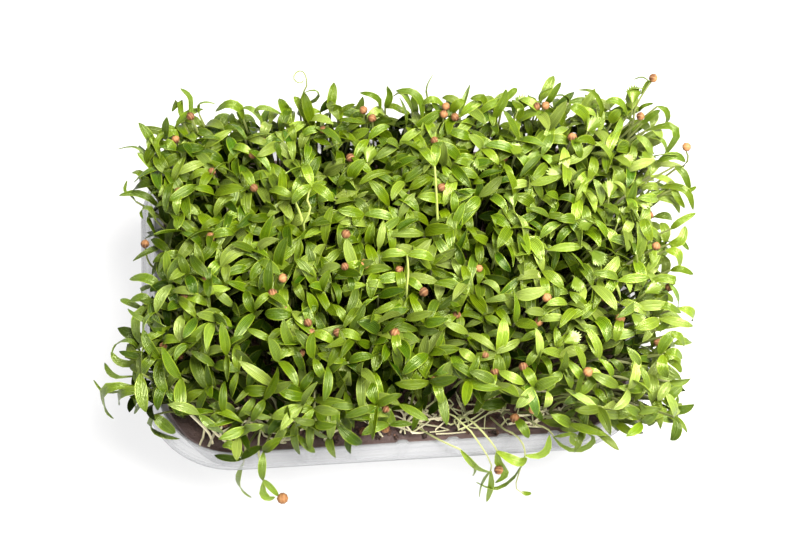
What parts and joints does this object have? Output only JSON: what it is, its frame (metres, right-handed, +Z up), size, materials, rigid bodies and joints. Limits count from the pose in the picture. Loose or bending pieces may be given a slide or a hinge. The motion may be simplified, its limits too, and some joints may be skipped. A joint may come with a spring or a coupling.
{
  "type": "microgreens tray",
  "caption": "Clear plastic tray with ribbed walls and a stepped flange, filled with growing medium and a dense stand of young coriander seedlings that lean out over its rim.",
  "frame": {"origin": "middle of the flat panel on the tray's underside, on the surface that the tray stands on", "axes": "+Z up, +X along the tray's length, -Y towards the front, the side where the growing medium shows and the seedlings droop over the rim"},
  "size_m": [0.2161, 0.149, 0.0931],
  "materials": {
    "clear_plastic": "clear, thin and glossy, with a faint grey-white cast on the flange",
    "growing_medium": "moist, dark, fibrous crumb with reddish grains",
    "sprout_green": "fresh leaf, satin, with fine parallel veins and a paler underside and stem",
    "seed_husk": "dry, ribbed, tan to dark brown"
  },
  "bodies": {
    "root": {"growing_medium": "growing_medium", "seed_husk_dropped_1": "seed_husk", "seed_husk_dropped_2": "seed_husk", "seed_husk_dropped_3": "seed_husk", "seed_husk_front_a": "seed_husk", "seed_husk_front_c": "seed_husk", "seed_husk_front_g": "seed_husk", "seed_husk_left_d": "seed_husk", "seed_husk_right_a": "seed_husk", "seed_husk_right_c": "seed_husk", "sprout_back_a": "sprout_green", "sprout_back_b": "sprout_green", "sprout_back_c": "sprout_green", "sprout_back_d": "sprout_green", "sprout_back_e": "sprout_green", "sprout_back_f": "sprout_green", "sprout_back_g": "sprout_green", "sprout_back_h": "sprout_green", "sprout_front_a": "sprout_green", "sprout_front_b": "sprout_green", "sprout_front_c": "sprout_green", "sprout_front_d": "sprout_green", "sprout_front_e": "sprout_green", "sprout_front_f": "sprout_green", "sprout_front_g": "sprout_green", "sprout_front_h": "sprout_green", "sprout_front_i": "sprout_green", "sprout_front_j": "sprout_green", "sprout_front_k": "sprout_green", "sprout_left_a": "sprout_green", "sprout_left_b": "sprout_green", "sprout_left_c": "sprout_green", "sprout_left_d": "sprout_green", "sprout_left_e": "sprout_green", "sprout_left_f": "sprout_green", "sprout_left_g": "sprout_green", "sprout_patch_1_1": "sprout_green", "sprout_patch_1_2": "sprout_green", "sprout_patch_1_3": "sprout_green", "sprout_patch_1_4": "sprout_green", "sprout_patch_2_1": "sprout_green", "sprout_patch_2_2": "sprout_green", "sprout_patch_2_3": "sprout_green", "sprout_patch_2_4": "sprout_green", "sprout_patch_3_1": "sprout_green", "sprout_patch_3_2": "sprout_green", "sprout_patch_3_3": "sprout_green", "sprout_patch_3_4": "sprout_green", "sprout_right_a": "sprout_green", "sprout_right_b": "sprout_green", "sprout_right_c": "sprout_green", "sprout_right_d": "sprout_green", "sprout_right_e": "sprout_green", "sprout_right_f": "sprout_green", "sprout_right_g": "sprout_green", "tray": "clear_plastic"}
  },
  "joints": []
}
